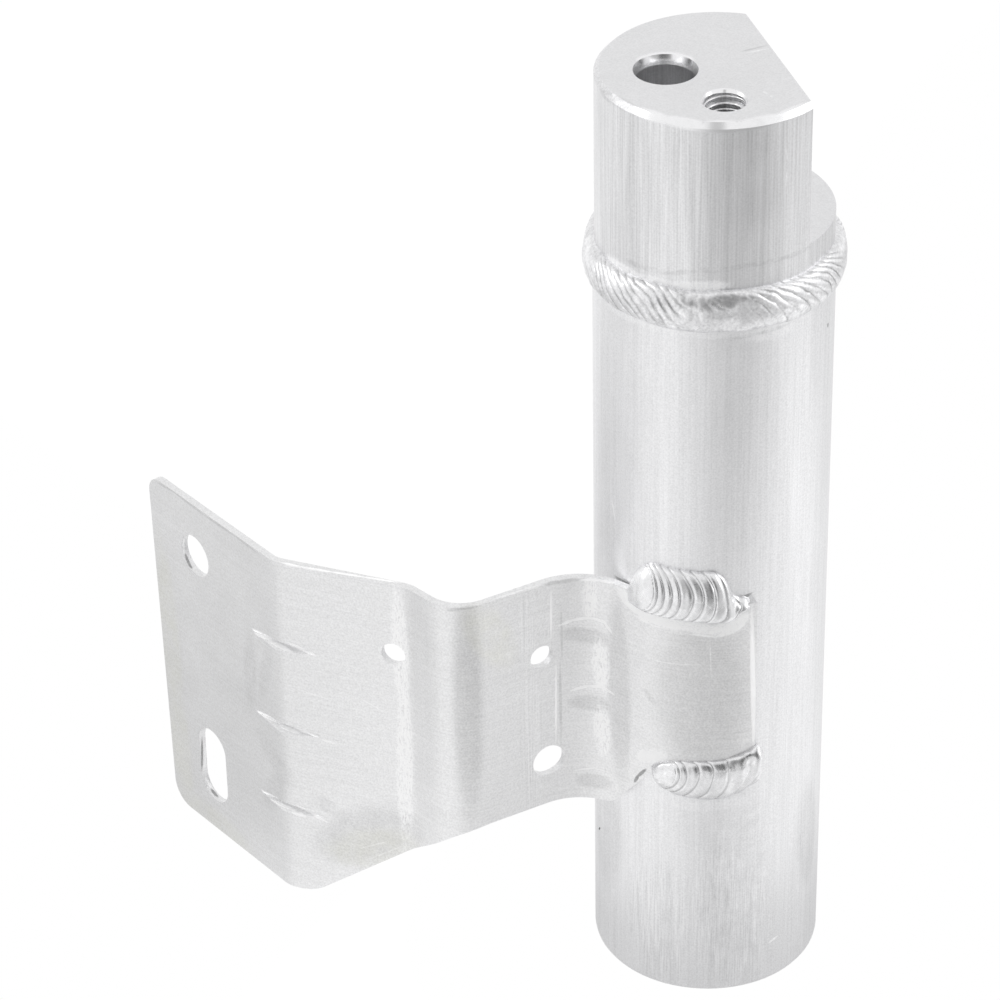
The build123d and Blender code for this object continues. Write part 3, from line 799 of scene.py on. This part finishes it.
# Stations of a tab bead: angle, height on the sheet, height on the can, crown
UPPER_STATIONS = (
    (-82.5, 126.6, 128.0, 0.2),
    (-80.0, 125.0, 131.6, 2.2),
    (-74.0, 123.9, 135.3, 3.6),
    (-62.0, 123.3, 136.0, 3.7),
    (-48.0, 123.2, 135.9, 3.6),
    (-38.0, 122.9, 135.4, 3.5),
    (-34.5, 122.8, 133.4, 2.9),
    (-31.5, 123.2, 129.4, 1.9),
    (-29.0, 124.6, 128.2, 1.6),
    (-25.5, 125.4, 128.0, 1.3),
    (-23.2, 126.0, 127.4, 0.3),
)
LOWER_STATIONS = (
    (-70.5, 73.6, 71.8, 0.2),
    (-67.0, 75.4, 69.0, 2.2),
    (-60.0, 77.2, 66.8, 3.2),
    (-48.0, 78.2, 65.6, 3.4),
    (-34.0, 79.0, 65.8, 3.4),
    (-23.0, 80.8, 68.6, 3.6),
    (-18.0, 81.6, 71.6, 3.0),
    (-15.5, 79.0, 75.0, 0.3),
)


def make_tab_bead(name, stations, coin_layout, lumpy_from, replaced, seed):
    """Weld along one edge of the tab: a smooth nose, coins that overlap, and lumps from a length on."""
    first_coin, growth, coin_depth, coin_middle, bulge = coin_layout
    columns, rows = TAB_GRID
    angle, sheet_z, can_z, crown = curve_through(stations, columns).T[:, :, None]
    share = np.linspace(0, 1, rows)[None, :]
    turned = eased(share)
    radius = (CAN_RADIUS + SHEET - EDGE_DEPTH) * (1 - turned) + (CAN_RADIUS - EDGE_DEPTH) * turned
    height = sheet_z * (1 - turned) + can_z * turned
    bulged = np.sin(np.pi * share ** bulge) ** TAB_ROUNDING * crown
    points = around(radius + bulged, angle + 0 * share, height)
    side = np.clip(2 * (share - coin_middle), -1, 1)
    along = np.radians(angle - angle[0]) * (CAN_RADIUS + SHEET)
    lag = NOSE_COIN_LAG + (TAB_COIN_LAG - NOSE_COIN_LAG) * smooth(*NOSE_LENGTHS, along)
    arc = along + lag * swept(side)
    side = side + 0 * arc
    past_nose = np.maximum(arc - first_coin, 0.0)
    jitter = uneven(arc, side, *TAB_COIN_JITTER, seed) * smooth(0, JITTER_RISE, past_nose)
    phase = past_nose ** growth + jitter
    lumpy = smooth(lumpy_from, lumpy_from + LUMPS_RISE, along)
    coined = np.where(arc > first_coin, coins(phase, TAB_COIN_POWER), 1.0)
    depth = coin_depth * (1 - COINS_LOST * lumpy) * coined
    lumps = uneven(arc, side, *TAB_LUMPS, seed + TAB_LUMPS_SEED)
    end_size, end_length, end_across = END_LUMPS
    lumps = lumps + uneven(arc, side, end_size * lumpy, end_length, end_across, seed + END_LUMPS_SEED)
    fade = np.sin(np.pi * share) ** TAB_FADING * smooth(*THIN_CROWNS, crown)
    normals = surface_normals(points, False)
    if sheet_z.mean() > can_z.mean():
        normals = -normals
    points = points + normals * ((depth + lumps) * fade)[..., None]
    root = around(np.full((columns, 1), CAN_RADIUS - TAB_ROOT_DEPTH), angle, (sheet_z + can_z) / 2)
    # Painted shade in the creases between coins, none on the lumpy end
    crease_shading = np.where(arc > first_coin, between_coins(phase), 0.0)
    crease_shading = crease_shading * smooth(0, TAB_CREASE_FADE, fade) * (1 - lumpy)
    bead_piece(name, points, root, crease_shading, False, replaced, "weld")


make_head_bead()
make_tab_bead("upper_bead", UPPER_STATIONS, UPPER_COINS, UPPER_LUMPY_FROM, "upper_tab_weld", UPPER_SEED)
make_tab_bead("lower_bead", LOWER_STATIONS, LOWER_COINS, LOWER_LUMPY_FROM, "lower_tab_weld", LOWER_SEED)


# Studio

# What reflections see: a level of light, and patches on it by middle, half sizes and the share of the light
# that each leaves, or adds to where it is above 1. Those of the tent are azimuth and elevation in degrees.
TENT_LEVEL = 0.91
TENT_PATCHES = (
    ((-40, 16), (22, 28), 0.30),
    ((-14, 12), (30, 24), 0.50),
    ((-41, 60), (10, 14), 0.60),
    ((-30, 38), (16, 13), 0.30),
    ((-160, 42), (26, 26), 0.75),
)
# Those of the floor are azimuth in degrees and distance from the can's axis in millimetres.
PAPER_LEVEL = 1.01
FLOOR_PATCHES = (
    ((-17, 640), (40, 330), 0.45),
    ((-40, 200), (32, 140), 0.82),
    ((-148, 250), (40, 120), 0.70),
    ((60, 520), (50, 140), 0.65),
    ((-115, 520), (60, 170), 0.90),
    ((100, 330), (26, 330), 0.90),
    ((0, 0), (999, 64), 0.70),
    ((45, 305), (16, 66), 1.28),
    ((-86, 300), (16, 70), 1.10),
)
# Squares of the distance from a patch's middle, in half sizes, between which it fades out
PATCH_FADE = (0.3, 1.8)
# Degrees in a radian
DEGREES = 180 / math.pi

# Floor: half its side and how far it lies below the object, in metres, and the paper's colour
FLOOR_HALF = 6.0
FLOOR_DROP = 0.0002
PAPER = (0.85, 0.85, 0.85, 1)

# Lamps: side in metres, watts, the place in metres that they face and their own
LAMP_SIZE = 0.9
LAMP_WATTS = 3
LAMP_AIM = Vector((0, 0, 0.13))
LAMPS = {"left_lamp": Vector((-0.9, -0.9, 0.9)), "right_lamp": Vector((0.9, 0.8, 0.8))}


def azimuth_of(tree, parts):
    """Azimuth in degrees of a place or direction, from its parts."""
    return combine(tree, "MULTIPLY", combine(tree, "ARCTAN2", parts["Y"], parts["X"]), DEGREES)


def patched(tree, level, across, away, patches):
    """Level of light that its patches leave, each fading across its rim."""
    for middle, half, left in patches:
        squares = []
        for value, centre, reach in zip((across, away), middle, half):
            offset = combine(tree, "MULTIPLY", combine(tree, "SUBTRACT", value, centre), 1 / reach)
            squares.append(combine(tree, "MULTIPLY", offset, offset))
        ring = combine(tree, "ADD", *squares)
        patch = spread(tree, ring, left, 1.0, *PATCH_FADE, interpolation_type="SMOOTHSTEP")
        level = combine(tree, "MULTIPLY", level, patch)
    return level


def make_floor():
    """Pale floor: white to the camera, and as its patches leave it to reflections."""
    mesh = bpy.data.meshes.new("floor")
    signs = ((-1, -1), (1, -1), (1, 1), (-1, 1))
    mesh.from_pydata([(x * FLOOR_HALF, y * FLOOR_HALF, 0) for x, y in signs], [], [(0, 1, 2, 3)])
    floor = bpy.data.objects.new("floor", mesh)
    floor.location = (0, 0, -FLOOR_DROP)
    bpy.context.scene.collection.objects.link(floor)
    material, tree = new_material("paper")
    tree.nodes.clear()
    paper = add_node(tree, "ShaderNodeBsdfDiffuse", {"Color": PAPER})
    place = add_node(tree, "ShaderNodeTexCoord").outputs["Object"]
    parts = add_node(tree, "ShaderNodeSeparateXYZ", {"Vector": place}).outputs
    azimuth = azimuth_of(tree, parts)
    distance = add_node(tree, "ShaderNodeVectorMath", {0: place}, operation="LENGTH").outputs["Value"]
    away = combine(tree, "MULTIPLY", distance, 1 / MM)
    level = patched(tree, PAPER_LEVEL, azimuth, away, FLOOR_PATCHES)
    rays = add_node(tree, "ShaderNodeLightPath").outputs
    strength = combine(tree, "MAXIMUM", rays["Is Camera Ray"], level)
    glow = add_node(tree, "ShaderNodeEmission", {"Strength": strength})
    direct = combine(tree, "MAXIMUM", rays["Is Camera Ray"], rays["Is Glossy Ray"])
    direct = combine(tree, "MAXIMUM", direct, rays["Is Transmission Ray"])
    mix = add_node(
        tree, "ShaderNodeMixShader", {0: direct, 1: paper.outputs["BSDF"], 2: glow.outputs["Emission"]})
    out = add_node(tree, "ShaderNodeOutputMaterial")
    tree.links.new(mix.outputs["Shader"], out.inputs["Surface"])
    mesh.materials.append(material)


def make_world():
    """Tent: white to the camera, and as its patches leave it to reflections."""
    world = bpy.data.worlds.new("tent")
    bpy.context.scene.world = world
    world.use_nodes = True
    tree = world.node_tree
    direction = add_node(tree, "ShaderNodeTexCoord").outputs["Generated"]
    parts = add_node(tree, "ShaderNodeSeparateXYZ", {"Vector": direction}).outputs
    azimuth = azimuth_of(tree, parts)
    elevation = combine(tree, "MULTIPLY", combine(tree, "ARCSINE", parts["Z"], 0.0), DEGREES)
    level = patched(tree, TENT_LEVEL, azimuth, elevation, TENT_PATCHES)
    camera_ray = add_node(tree, "ShaderNodeLightPath").outputs["Is Camera Ray"]
    strength = combine(tree, "MAXIMUM", camera_ray, level)
    tree.links.new(strength, tree.nodes["Background"].inputs["Strength"])
    tree.nodes["Background"].inputs["Color"].default_value = (1, 1, 1, 1)


def add_lamp(name, place):
    """Square soft lamp at a place that faces the object's middle."""
    data = bpy.data.lights.new(name, "AREA")
    data.size = LAMP_SIZE
    data.energy = LAMP_WATTS
    lamp = bpy.data.objects.new(name, data)
    lamp.location = place
    lamp.rotation_mode = "QUATERNION"
    lamp.rotation_quaternion = (LAMP_AIM - place).to_track_quat("-Z", "Y")
    bpy.context.scene.collection.objects.link(lamp)


make_floor()
make_world()
for lamp_name, lamp_place in LAMPS.items():
    add_lamp(lamp_name, lamp_place)
make_camera()
bpy.context.scene.view_settings.view_transform = "Standard"
